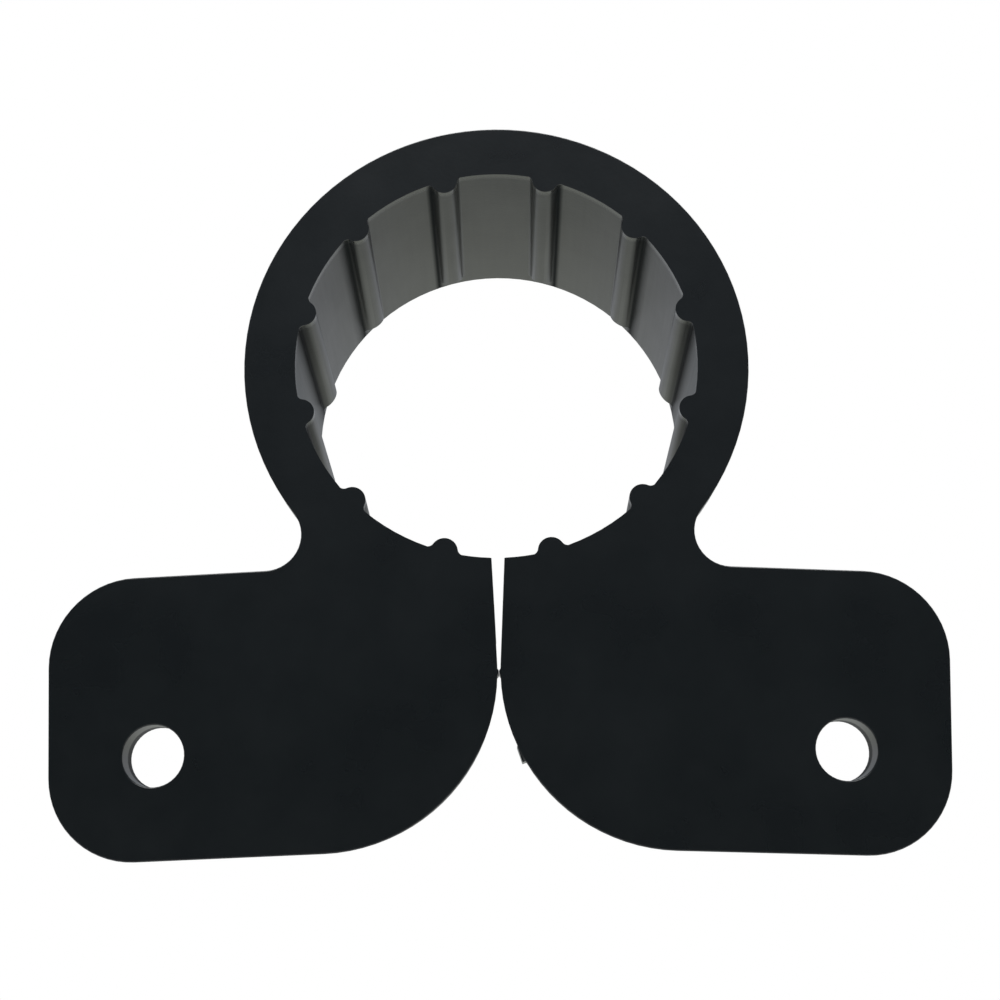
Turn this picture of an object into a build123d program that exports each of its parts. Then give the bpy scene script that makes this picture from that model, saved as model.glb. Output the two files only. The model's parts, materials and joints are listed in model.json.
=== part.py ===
from build123d import *
from math import cos, radians, sin, tan
import os

# A pipe hanger moulded in one piece: a deep split ring, lined with half-round ribs that grip the pipe,
# and two flat ears that lie flush with the ring's front end and take one screw each.
# Frame: +X to the right, +Y from the front towards the back along the pipe, +Z up.
# The origin lies midway between the two screw holes, on the back of the ears.

# Pipe, and the ribs that pinch it, at the ring's front end, in millimetres
pipe_diameter = 28.6
rib_pinch = 0.1
rib_count = 12
rib_radius = 1.0
rib_root_radius = 0.5

# Ring: the mould's draft, in degrees, thins its wall towards the back, inside from the front end on
# and outside from the ears on; the ears' sides have it too
ring_wall = 3.85
ring_depth = 24.0
draft = 2.2
seat_radius = 0.8

# How deep the ring's rounded seat on the ears, and the ribs' rounded roots, are sunk into what carries them
seat_sink = 0.05
root_sink = 0.02

# Lead-in: a cone, its angle in degrees, that runs the ribs out before a plain land at the ring's back end
lead_in_angle = 35.0
land_length = 1.5

# Ears, measured level along their upper and inner edges, before they are turned down by the droop;
# their lower and outer edges lean in by the taper, both in degrees
ear_length = 32.4
ear_height = 20.55
ear_thickness = 2.8
ear_droop = 2.6
ear_taper = 0.65
ear_corner_radius = 6.2
ear_lip_radius = 12.7
ear_neck_radius = 2.65
lip_gap = 0.22

# Nibs, half round, on which the two lips all but touch
nib_radius = 0.25
nib_gap = 0.02

# Screw holes, at one inset from the two lines that the ear is measured to, its far end and its lowest level
hole_diameter = 4.4
hole_inset = 7.6

# Stub on one lip where the moulding was cut from its gate, at an angle below the lip's centre
gate_angle = 30.0
gate_slant = -9.0
gate_width = 1.2
gate_proud = 0.11

# Bevel that breaks all outer edges, and how near a corner lies to the circle that it is chosen by
edge_bevel = 0.1
nearness = 0.001

# Sizes that follow
bore_radius = pipe_diameter / 2 - rib_pinch + rib_radius
ring_radius = bore_radius + ring_wall
half_pitch = 180 / rib_count
ear_top = -bore_radius
ear_bottom = ear_top - ear_height
ear_lean = tan(radians(ear_taper))
side_depth = ear_thickness - 2 * edge_bevel
ring_end = ring_depth - ear_thickness
land_start = ring_end - land_length
rib_length = ring_depth - land_length / 2


def turned(x, z):
    """A point of the right ear's level outline, turned down about the pipe's axis."""
    return Vector(x, z).rotate(Axis.Z, -ear_droop)


def wall_radius(y):
    """The radius of the bore's drafted wall between the ribs."""
    return bore_radius + (y + ear_thickness) * tan(radians(draft))


def tube_radius(y):
    """The radius of the ring's drafted outside, behind the ears."""
    return ring_radius - y * tan(radians(draft))


# The ears' inner edges are placed so that their turned lips leave the lip gap between them
lip_height = ear_bottom + ear_lip_radius * (ear_lean + 1 / cos(radians(ear_taper)))
slit_edge = (lip_gap / 2 + ear_lip_radius - turned(0, lip_height).X) / turned(1, 0).X - ear_lip_radius
lip_centre = turned(slit_edge + ear_lip_radius, lip_height)
nib_place = nib_gap / 2 + nib_radius
hole_centre = turned(slit_edge + ear_length - hole_inset, ear_bottom + hole_inset)
pipe_height = -hole_centre.Y

# The front face is seen from the front, with the pipe's axis as its centre and +Z up;
# the side face lies behind its bevel, where the sides of the ears begin
front_face = Plane((0, -ear_thickness, pipe_height), x_dir=(1, 0, 0), z_dir=(0, -1, 0))
side_face = front_face.offset(-edge_bevel)
droop_turn = Location((0, 0, 0), (0, 0, -ear_droop))
pipe_axis = Axis((0, 0, pipe_height), (0, 1, 0))

# A rib's middle line, seen as the front face is: it leaves the front at the bore's wall and follows the draft
rib_line = Plane((bore_radius, 0, 0), x_dir=(0, 1, 0), z_dir=(sin(radians(draft)), 0, -cos(radians(draft))))


def on_ring(corner):
    """True for a corner of the front outline that lies on the ring's outside."""
    return abs(corner.center().length - ring_radius) < nearness


# Slit: a wedge between the turned inner edges of the two ears
with BuildSketch() as slit:
    upper = turned(slit_edge, 0)
    lower = turned(slit_edge, -ring_radius - edge_bevel)
    Polygon((-upper.X, upper.Y), (upper.X, upper.Y), (lower.X, lower.Y), (-lower.X, lower.Y), align=None)

# Rib: a bar that lies half in the bore's wall, with rounded roots on a strip in the wall, cut flush with the front
with BuildPart() as rib:
    with BuildSketch(rib_line) as section:
        Rectangle(4 * rib_radius, 2 * rib_radius)
        with Locations((0, -bore_radius)):
            Circle(bore_radius + root_sink, mode=Mode.SUBTRACT)
        Circle(rib_radius)
        fillet(section.vertices().sort_by_distance((0, 0))[:2], rib_root_radius)
    extrude(amount=rib_length, both=True)
    split(bisect_by=Plane.XY, keep=Keep.BOTTOM)

# All ribs, spaced from the slit, and run out towards the back by the lead-in cone
with BuildPart() as ribs:
    with Locations(front_face):
        with PolarLocations(0, rib_count, start_angle=half_pitch - 90):
            add(rib.part)
    with BuildSketch(Plane.YZ):
        with BuildLine():
            cone_tip = land_start - wall_radius(land_start) / tan(radians(lead_in_angle))
            cone_radius = (ring_end - cone_tip) * tan(radians(lead_in_angle))
            Polyline((cone_tip, pipe_height), (ring_end, pipe_height + cone_radius), (ring_end, pipe_height),
                     close=True)
        make_face()
    revolve(axis=pipe_axis, mode=Mode.SUBTRACT)

# Seat: a rounded inside corner where the ring leaves the back of the ears, rooted in both
with BuildPart() as seat:
    with BuildSketch(Plane.YZ):
        with BuildLine():
            foot = (-seat_sink, pipe_height - ring_radius - seat_radius)
            head = (seat_radius, pipe_height - tube_radius(seat_radius) + seat_sink)
            in_wall = pipe_height - ring_radius + ring_wall / 2
            in_ear = -ear_thickness / 2
            TangentArc(foot, head, tangent=(0, 1))
            Polyline(head, (seat_radius, in_wall), (in_ear, in_wall), (in_ear, foot[1]), foot)
        make_face()
    revolve(axis=pipe_axis)
    with BuildSketch(front_face):
        with Locations(droop_turn):
            with Locations((slit_edge, ear_top - edge_bevel)):
                Rectangle(ear_length, ear_height, align=(Align.MIN, Align.MAX))
        mirror(about=Plane.YZ)
    extrude(amount=-ear_thickness - seat_radius, mode=Mode.INTERSECT)

with BuildPart() as hanger:
    # Front plate: the ring's front end with both ears, necked into the ring, its sides drafted, and drilled
    with BuildSketch(front_face) as plate:
        with Locations(droop_turn):
            with Locations((slit_edge, ear_top)):
                Polygon((0, 0), (ear_length, 0),
                        (ear_length - ear_height * ear_lean, ear_length * ear_lean - ear_height),
                        (0, -ear_height), align=None)
        fillet(plate.vertices().sort_by(Axis.X)[0], ear_lip_radius)
        fillet(plate.vertices().sort_by(Axis.X)[-2:], ear_corner_radius)
        mirror(about=Plane.YZ)
        Circle(ring_radius)
        necks = plate.vertices().filter_by(on_ring).sort_by(Axis.Y)[-2:]
        fillet(necks, ear_neck_radius)
        Circle(bore_radius, mode=Mode.SUBTRACT)
        add(slit.sketch, mode=Mode.SUBTRACT)
    extrude(amount=-ear_thickness)
    ears_back = hanger.faces().sort_by(Axis.Y)[-1]
    chamfer(ears_back.edges(), side_depth * tan(radians(draft)), side_depth, reference=ears_back)
    with BuildSketch(front_face):
        with Locations((hole_centre.X, hole_centre.Y), (-hole_centre.X, hole_centre.Y)):
            Circle(hole_diameter / 2)
    extrude(amount=-ear_thickness, mode=Mode.SUBTRACT)

    # Ring: straight as deep as the ears, then drafted; seated on the ears and slit
    with BuildSketch(Plane.YZ):
        with BuildLine():
            Polyline((-ear_thickness, pipe_height), (-ear_thickness, pipe_height + ring_radius),
                     (0, pipe_height + ring_radius), (ring_end, pipe_height + tube_radius(ring_end)),
                     (ring_end, pipe_height), close=True)
        make_face()
    revolve(axis=pipe_axis)
    add(seat.part)
    with BuildSketch(front_face):
        add(slit.sketch)
    extrude(amount=-ring_depth, mode=Mode.SUBTRACT)

    # Broken edges at both ends, round the ears, the holes, the ring and the slit
    chamfer(hanger.faces().sort_by(Axis.Y)[0].edges(), edge_bevel)
    chamfer(hanger.faces().sort_by(Axis.Y)[-1].edges(), edge_bevel)

    # Bore: drafted, with the sharp ends that a core pin leaves, and lined with the ribs
    with BuildSketch(Plane.YZ):
        with BuildLine():
            Polyline((-ear_thickness, pipe_height), (-ear_thickness, pipe_height + bore_radius),
                     (ring_end, pipe_height + wall_radius(ring_end)), (ring_end, pipe_height), close=True)
        make_face()
    revolve(axis=pipe_axis, mode=Mode.SUBTRACT)
    add(ribs.part)

    # Nibs where the lips come nearest, and the gate stub on the right ear's lip
    with BuildSketch(side_face):
        with Locations((nib_place, lip_centre.Y), (-nib_place, lip_centre.Y)):
            Circle(nib_radius)
        with Locations(Location((lip_centre.X, lip_centre.Y, 0), (0, 0, -ear_droop))):
            with PolarLocations(ear_lip_radius + gate_proud, 1, start_angle=180 + gate_angle):
                Rectangle(gate_width, gate_width, rotation=gate_slant, align=(Align.MAX, Align.CENTER))
    extrude(amount=-side_depth)

hanger.part.label = "hanger_body"
os.makedirs("parts", exist_ok=True)
export_step(hanger.part, "parts/hanger_body.step")
print("hole spacing", round(2 * hole_centre.X, 3), "pipe axis above the holes", round(pipe_height, 3))
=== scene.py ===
import json
from math import pi, radians, tan

import bpy
from mathutils import Matrix, Vector


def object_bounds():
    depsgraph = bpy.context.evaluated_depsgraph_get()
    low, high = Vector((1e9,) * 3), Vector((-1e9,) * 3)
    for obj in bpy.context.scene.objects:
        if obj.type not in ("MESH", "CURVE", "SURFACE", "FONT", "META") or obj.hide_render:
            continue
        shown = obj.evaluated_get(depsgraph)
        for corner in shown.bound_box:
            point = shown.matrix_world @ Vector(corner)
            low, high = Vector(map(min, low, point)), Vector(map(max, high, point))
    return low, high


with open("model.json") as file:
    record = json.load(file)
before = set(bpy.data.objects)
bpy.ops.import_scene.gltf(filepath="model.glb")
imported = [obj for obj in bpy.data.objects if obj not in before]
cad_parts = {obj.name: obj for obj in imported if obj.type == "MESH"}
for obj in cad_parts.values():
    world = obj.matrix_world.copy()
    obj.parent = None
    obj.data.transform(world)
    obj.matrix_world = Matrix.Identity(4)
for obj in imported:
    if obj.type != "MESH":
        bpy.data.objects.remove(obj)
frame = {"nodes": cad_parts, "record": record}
cad_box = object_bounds()

# A pipe hanger moulded in black plastic, seen from the front and a little from below, on white.
# The frame is the CAD frame: +X to the right, +Y from the front to the back, +Z up, in metres.
millimetre = 0.001
mounts = {mount["name"]: mount for mount in frame["record"]["mounts"]}

# The ring's bore, as the core pin shaped it: the pipe's axis, the wall's front radius, its draft, its ribs
pipe_axis_height = mounts["pipe_seat"]["pos_m"][2]
bore_radius = 15.2 * millimetre
bore_slope = tan(radians(2.2))
front_depth = cad_box[0][1]
ring_depth = cad_box[1][1] - front_depth
rib_count = 12
rib_pitch = 2 * pi / rib_count

# The screw holes, each side of the middle at the height of the origin
hole_place = mounts["screw_holes"]["dims"]["spacing_x_mm"] / 2 * millimetre
hole_radius = mounts["screw_holes"]["dims"]["hole_r_mm"] * millimetre

# Where one finish gives way to another: behind the front face, outside the bore's wall and outside a hole
front_skin = (0.04 * millimetre, 0.12 * millimetre)
wall_skin = (0.1 * millimetre, 0.3 * millimetre)
hole_skin = 0.02 * millimetre

# Polypropylene: its two shades, its index of refraction, and the sizes of its flow clouds, grain and streaks
dark_shade = "131719"
light_shade = "1A1E20"
plastic_ior = 1.49
cloud_width = 7.0 * millimetre
grain_width = 0.30 * millimetre    # really about 0.1 mm, drawn coarser so that it shows
grain_depth = 0.006 * millimetre
streak_width = 0.45 * millimetre
streak_depth = 0.003 * millimetre
streak_stretch = 0.03

# Roughness from least to most, and the depths behind the front face between which it changes
flat_roughness = (0.25, 0.31)
drawn_roughness = (0.30, 0.37)
edge_roughness = 0.20
edge_depth = (0.3 * millimetre, 0.9 * millimetre)
pin_roughness = (0.32, 0.62)
pin_depth = (1.6 * millimetre, 1.9 * millimetre)

# Sheen, as the shader's specular level: what the flow clouds give, and the painted highlight that the bore's
# two ends add to it
cloud_range = (0.3, 0.7)
flow_sheen = (0.40, 0.52)
front_highlight_level = 0.40
back_highlight_level = 0.30
back_highlight_begins = 3 * millimetre

# Rib roots: a band of painted shade beside each rib, away from the top, drawn as a cut in the sheen and
# placed in rib pitches from the middle of a wall.
# It starts on the rib, is full at its root, and ends on the wall, farther out at the sides than near the top
rib_middle = 0.5
root_start = rib_middle + 0.08
root_full = (rib_middle + 0.14, rib_middle + 0.15)
root_end_near_top = rib_middle + 0.195
root_end_at_sides = rib_middle + 0.42
root_widening = (1.0, 3.0)
root_shaded_sheen_share = 0.24
root_shade_power = 3.0    # the share is taken to this power, so that the band fades evenly to the eye

# Mesh: the gap that is welded, and in degrees the bends that count as flat and as a sharp corner
weld_gap = 0.001 * millimetre
flat_bend = 0.2
corner_bend = 60

# Camera: where it stands, how it is turned in degrees, and its focal length as a share of its sensor's width
camera_place = Vector((0.588, -110.608, -7.009)) * millimetre
camera_tilt_up = 13.282
camera_turn_left = 0.211
camera_roll = -0.533
sensor_width = 36.0
focal_share = 1.5
nearest_seen = 0.01
farthest_seen = 20.0

# Floor
floor_drop = 60 * millimetre
floor_half_width = 0.2
floor_colour = "F3F3F1"
floor_roughness = 0.8

# World: its colours, and the parts of a direction, towards the back or upwards, between which each gives way
seen_backdrop_colour = "FFFFFF"
low_backdrop_colour = "C8CCC0"
high_backdrop_colour = "C4C7CA"
top_backdrop_colour = "A0A6AD"
low_room_colour = "121314"
high_room_colour = "767B82"
room_to_backdrop = (-0.1, 0.3)
low_to_high_room = (0.1, 0.35)
low_to_high_backdrop = (-0.3, 0.1)
high_to_top_backdrop = (0.2, 0.4)

# Key light
key_place = Vector((0.0, -0.15, 0.50))
key_aim = Vector((0.0, 0.0, 0.02))
key_size = 0.35
key_watts = 3.7


def linear(colour):
    """The linear red, green, blue and alpha of an sRGB colour that is written as six hex digits."""
    channels = [int(colour[i:i + 2], 16) / 255 for i in (0, 2, 4)]
    return [c / 12.92 if c <= 0.04045 else ((c + 0.055) / 1.055) ** 2.4 for c in channels] + [1.0]


def add_node(tree, kind, sockets=None, **settings):
    """Adds a node with its settings. Each socket is given a value, or another node's output to link from."""
    node = tree.nodes.new(kind)
    for name, value in settings.items():
        setattr(node, name, value)
    for socket, source in (sockets or {}).items():
        if isinstance(source, bpy.types.NodeSocket):
            tree.links.new(source, node.inputs[socket])
        else:
            node.inputs[socket].default_value = source
    return node


def find_bore(tree, place):
    """A point's place from the front end of the pipe's axis, and its share in the bore, from 0 to 1."""
    from_axis = add_node(tree, "ShaderNodeVectorMath", {0: place, 1: (0.0, front_depth, pipe_axis_height)},
                         operation="SUBTRACT")
    across = add_node(tree, "ShaderNodeVectorMath", {0: from_axis.outputs["Vector"], 1: (1.0, 0.0, 1.0)},
                      operation="MULTIPLY")
    radius = add_node(tree, "ShaderNodeVectorMath", {0: across.outputs["Vector"]}, operation="LENGTH")
    along = add_node(tree, "ShaderNodeSeparateXYZ", {"Vector": from_axis.outputs["Vector"]})
    undrafted = add_node(tree, "ShaderNodeMath",
                         {0: along.outputs["Y"], 1: -bore_slope, 2: radius.outputs["Value"]},
                         operation="MULTIPLY_ADD")
    behind = add_node(tree, "ShaderNodeMapRange",
                      {"Value": along.outputs["Y"], "From Min": front_skin[0], "From Max": front_skin[1]})
    in_bore = add_node(tree, "ShaderNodeMapRange",
                       {"Value": undrafted.outputs["Value"], "From Min": bore_radius + wall_skin[1],
                        "From Max": bore_radius + wall_skin[0], "To Max": behind.outputs["Result"]})
    return along.outputs, in_bore.outputs["Result"]


def find_holes(tree, place):
    """1 for a point on the wall of a screw hole, and 0 elsewhere."""
    folded = add_node(tree, "ShaderNodeVectorMath", {0: place}, operation="ABSOLUTE")
    from_hole = add_node(tree, "ShaderNodeVectorMath",
                         {0: folded.outputs["Vector"], 1: (hole_place, 0.0, 0.0)}, operation="SUBTRACT")
    across = add_node(tree, "ShaderNodeVectorMath", {0: from_hole.outputs["Vector"], 1: (1.0, 0.0, 1.0)},
                      operation="MULTIPLY")
    distance = add_node(tree, "ShaderNodeVectorMath", {0: across.outputs["Vector"]}, operation="LENGTH")
    in_hole = add_node(tree, "ShaderNodeMath", {0: distance.outputs["Value"], 1: hole_radius + hole_skin},
                       operation="LESS_THAN")
    return in_hole.outputs["Value"]


def paint_rib_root_shade(tree, along, in_bore):
    """The share of the sheen that is left: least in the rib roots on the side away from the top, where shade
    is painted.
    """
    turn = add_node(tree, "ShaderNodeMath", {0: along["X"], 1: along["Z"]}, operation="ARCTAN2")
    turn_from_top = add_node(tree, "ShaderNodeMath", {0: turn.outputs["Value"]}, operation="ABSOLUTE")
    pitches = add_node(tree, "ShaderNodeMath", {0: turn_from_top.outputs["Value"], 1: rib_pitch},
                       operation="DIVIDE")
    past_wall = add_node(tree, "ShaderNodeMath", {0: pitches.outputs["Value"]}, operation="FRACT")
    rib_side = add_node(tree, "ShaderNodeMapRange",
                        {"Value": past_wall.outputs["Value"], "From Min": root_start,
                         "From Max": root_full[0]})
    end = add_node(tree, "ShaderNodeMapRange",
                   {"Value": pitches.outputs["Value"], "From Min": root_widening[0],
                    "From Max": root_widening[1], "To Min": root_end_near_top, "To Max": root_end_at_sides})
    band = add_node(tree, "ShaderNodeMapRange",
                    {"Value": past_wall.outputs["Value"], "From Min": end.outputs["Result"],
                     "From Max": root_full[1], "To Max": rib_side.outputs["Result"]})
    bore_band = add_node(tree, "ShaderNodeMath", {0: band.outputs["Result"], 1: in_bore},
                         operation="MULTIPLY")
    share = add_node(tree, "ShaderNodeMapRange",
                     {"Value": bore_band.outputs["Value"], "To Min": 1.0, "To Max": root_shaded_sheen_share})
    left = add_node(tree, "ShaderNodeMath", {0: share.outputs["Result"], 1: root_shade_power},
                    operation="POWER")
    return left.outputs["Value"]


def moulded_polypropylene():
    """Black polypropylene as it leaves the mould: a bluish black with a low, uneven sheen and a fine grain.
    Inside the bore it is drawn along the pipe, where the core pin slid out, with a painted highlight at its
    two ends and painted shade in the rib roots."""
    material = bpy.data.materials.new("moulded_polypropylene")
    material.use_nodes = True
    tree = material.node_tree
    shader = tree.nodes["Principled BSDF"]
    place = add_node(tree, "ShaderNodeTexCoord").outputs["Object"]
    along, in_bore = find_bore(tree, place)
    in_hole = find_holes(tree, place)
    # The sheen that is left after the painted shade in the rib roots
    sheen_left_after_painted_shade = paint_rib_root_shade(tree, along, in_bore)

    # Flow clouds: slow changes of shade where the melt cooled
    clouds = add_node(tree, "ShaderNodeTexNoise",
                      {"Vector": place, "Scale": 1 / cloud_width, "Detail": 3.0, "Roughness": 0.6})
    colour = add_node(tree, "ShaderNodeMix",
                      {"Factor": clouds.outputs["Fac"], "A": linear(dark_shade), "B": linear(light_shade)},
                      data_type="RGBA")
    tree.links.new(colour.outputs["Result"], shader.inputs["Base Color"])

    # Grain all over, and in the bore streaks along the pipe
    grain = add_node(tree, "ShaderNodeTexNoise",
                     {"Vector": place, "Scale": 1 / grain_width, "Detail": 2.0, "Roughness": 0.5})
    drawn = add_node(tree, "ShaderNodeVectorMath", {0: place, 1: (1.0, streak_stretch, 1.0)},
                     operation="MULTIPLY")
    streaks = add_node(tree, "ShaderNodeTexNoise",
                       {"Vector": drawn.outputs["Vector"], "Scale": 1 / streak_width, "Detail": 3.0,
                        "Roughness": 0.6})
    grain_bump = add_node(tree, "ShaderNodeBump", {"Height": grain.outputs["Fac"], "Distance": grain_depth})
    streak_bump = add_node(tree, "ShaderNodeBump",
                           {"Height": streaks.outputs["Fac"], "Distance": streak_depth,
                            "Strength": in_bore, "Normal": grain_bump.outputs["Normal"]})
    tree.links.new(streak_bump.outputs["Normal"], shader.inputs["Normal"])

    # Roughness: even on the flat outside, drawn along the bore but polished at the bore's front edge,
    # and in the screw holes smooth from the front pin and torn behind it
    flat = add_node(tree, "ShaderNodeMapRange",
                    {"Value": clouds.outputs["Fac"], "To Min": flat_roughness[0],
                     "To Max": flat_roughness[1]})
    drawn_wall = add_node(tree, "ShaderNodeMapRange",
                          {"Value": streaks.outputs["Fac"], "To Min": drawn_roughness[0],
                           "To Max": drawn_roughness[1]})
    bore_wall = add_node(tree, "ShaderNodeMapRange",
                         {"Value": along["Y"], "From Min": edge_depth[0], "From Max": edge_depth[1],
                          "To Min": edge_roughness, "To Max": drawn_wall.outputs["Result"]})
    hole_wall = add_node(tree, "ShaderNodeMapRange",
                         {"Value": along["Y"], "From Min": pin_depth[0], "From Max": pin_depth[1],
                          "To Min": pin_roughness[0], "To Max": pin_roughness[1]})
    flat_and_bore = add_node(tree, "ShaderNodeMix",
                             {"Factor": in_bore, "A": flat.outputs["Result"],
                              "B": bore_wall.outputs["Result"]})
    roughness = add_node(tree, "ShaderNodeMix",
                         {"Factor": in_hole, "A": flat_and_bore.outputs["Result"],
                          "B": hole_wall.outputs["Result"]})
    tree.links.new(roughness.outputs["Result"], shader.inputs["Roughness"])

    # Sheen: uneven with the flow, and in the bore raised at its two ends as a painted highlight
    flow = add_node(tree, "ShaderNodeMapRange",
                    {"Value": clouds.outputs["Fac"], "From Min": cloud_range[0], "From Max": cloud_range[1],
                     "To Min": flow_sheen[0], "To Max": flow_sheen[1]})
    front_painted_highlight = add_node(tree, "ShaderNodeMapRange",
                         {"Value": along["Y"], "From Min": edge_depth[1], "From Max": edge_depth[0],
                          "To Max": front_highlight_level})
    back_painted_highlight = add_node(tree, "ShaderNodeMapRange",
                        {"Value": along["Y"], "From Min": back_highlight_begins, "From Max": ring_depth,
                         "To Max": back_highlight_level})
    painted_end_highlights = add_node(tree, "ShaderNodeMath",
                         {0: front_painted_highlight.outputs["Result"], 1: back_painted_highlight.outputs["Result"]}, operation="ADD")
    full_sheen = add_node(tree, "ShaderNodeMath",
                          {0: painted_end_highlights.outputs["Value"], 1: in_bore, 2: flow.outputs["Result"]},
                          operation="MULTIPLY_ADD")
    # The painted shade in the rib roots cuts the sheen
    sheen = add_node(tree, "ShaderNodeMath", {0: full_sheen.outputs["Value"], 1: sheen_left_after_painted_shade},
                     operation="MULTIPLY")
    tree.links.new(sheen.outputs["Value"], shader.inputs["Specular IOR Level"])
    shader.inputs["IOR"].default_value = plastic_ior
    return material


def painted_board():
    """A pale painted board, plain and matt, that takes the hanger's soft shadow."""
    material = bpy.data.materials.new("painted_board")
    material.use_nodes = True
    shader = material.node_tree.nodes["Principled BSDF"]
    shader.inputs["Base Color"].default_value = linear(floor_colour)
    shader.inputs["Roughness"].default_value = floor_roughness
    return material


# The hanger: the welded mesh is shaded from its broad faces, so each bevel turns as a moulded edge does
hanger = frame["nodes"]["hanger_body"]
hanger.data.materials.clear()
hanger.data.materials.append(moulded_polypropylene())
weld = hanger.modifiers.new("joined_faces", "WELD")
weld.merge_threshold = weld_gap
flats = hanger.modifiers.new("whole_flats", "DECIMATE")
flats.decimate_type = "DISSOLVE"
flats.angle_limit = radians(flat_bend)
corners = hanger.modifiers.new("sharp_corners", "EDGE_SPLIT")
corners.split_angle = radians(corner_bend)
corners.use_edge_sharp = False
edges = hanger.modifiers.new("turned_edges", "WEIGHTED_NORMAL")
edges.keep_sharp = False

# Floor
bpy.ops.mesh.primitive_plane_add(size=2 * floor_half_width, location=(0, 0, cad_box[0][2] - floor_drop))
floor = bpy.context.object
floor.name = "floor"
floor.data.materials.append(painted_board())

# World: the camera sees white all round. The hanger is lit by a pale grey backdrop behind it, dimmer above,
# and by a dark room in front that grows lighter towards its ceiling
world = bpy.data.worlds.new("studio")
world.use_nodes = True
bpy.context.scene.world = world
sky = world.node_tree
sky.nodes.clear()
direction = add_node(sky, "ShaderNodeTexCoord").outputs["Generated"]
towards = add_node(sky, "ShaderNodeSeparateXYZ", {"Vector": direction})
room_rise = add_node(sky, "ShaderNodeMapRange",
                     {"Value": towards.outputs["Z"], "From Min": low_to_high_room[0],
                      "From Max": low_to_high_room[1]}, interpolation_type="SMOOTHSTEP")
room = add_node(sky, "ShaderNodeMix",
                {"Factor": room_rise.outputs["Result"], "A": linear(low_room_colour),
                 "B": linear(high_room_colour)}, data_type="RGBA")
backdrop_rise = add_node(sky, "ShaderNodeMapRange",
                         {"Value": towards.outputs["Z"], "From Min": low_to_high_backdrop[0],
                          "From Max": low_to_high_backdrop[1]})
low_backdrop = add_node(sky, "ShaderNodeMix",
                        {"Factor": backdrop_rise.outputs["Result"], "A": linear(low_backdrop_colour),
                         "B": linear(high_backdrop_colour)}, data_type="RGBA")
backdrop_fade = add_node(sky, "ShaderNodeMapRange",
                         {"Value": towards.outputs["Z"], "From Min": high_to_top_backdrop[0],
                          "From Max": high_to_top_backdrop[1]})
backdrop = add_node(sky, "ShaderNodeMix",
                    {"Factor": backdrop_fade.outputs["Result"], "A": low_backdrop.outputs["Result"],
                     "B": linear(top_backdrop_colour)}, data_type="RGBA")
to_back = add_node(sky, "ShaderNodeMapRange",
                   {"Value": towards.outputs["Y"], "From Min": room_to_backdrop[0],
                    "From Max": room_to_backdrop[1]}, interpolation_type="SMOOTHSTEP")
surround = add_node(sky, "ShaderNodeMix",
                    {"Factor": to_back.outputs["Result"], "A": room.outputs["Result"],
                     "B": backdrop.outputs["Result"]}, data_type="RGBA")
seen = add_node(sky, "ShaderNodeLightPath")
view = add_node(sky, "ShaderNodeMix",
                {"Factor": seen.outputs["Is Camera Ray"], "A": surround.outputs["Result"],
                 "B": linear(seen_backdrop_colour)}, data_type="RGBA")
glow = add_node(sky, "ShaderNodeBackground", {"Color": view.outputs["Result"]})
add_node(sky, "ShaderNodeOutputWorld", {"Surface": glow.outputs["Background"]})

# Key light: one broad soft lamp above the camera
lamp = bpy.data.lights.new("key", "AREA")
lamp.size = key_size
lamp.energy = key_watts
key = bpy.data.objects.new("key", lamp)
key.location = key_place
key.rotation_euler = (key_aim - key_place).to_track_quat("-Z", "Y").to_euler()
key.visible_camera = False
bpy.context.scene.collection.objects.link(key)

# Camera
lens = bpy.data.cameras.new("camera")
lens.sensor_width = sensor_width
lens.lens = focal_share * sensor_width
lens.clip_start = nearest_seen
lens.clip_end = farthest_seen
camera = bpy.data.objects.new("camera", lens)
turned = Matrix.Rotation(radians(camera_turn_left), 4, "Z")
tilted = Matrix.Rotation(radians(90 + camera_tilt_up), 4, "X")
rolled = Matrix.Rotation(radians(camera_roll), 4, "Z")
camera.matrix_world = Matrix.Translation(camera_place) @ turned @ tilted @ rolled
bpy.context.scene.collection.objects.link(camera)
bpy.context.scene.camera = camera
bpy.context.scene.view_settings.view_transform = "Standard"
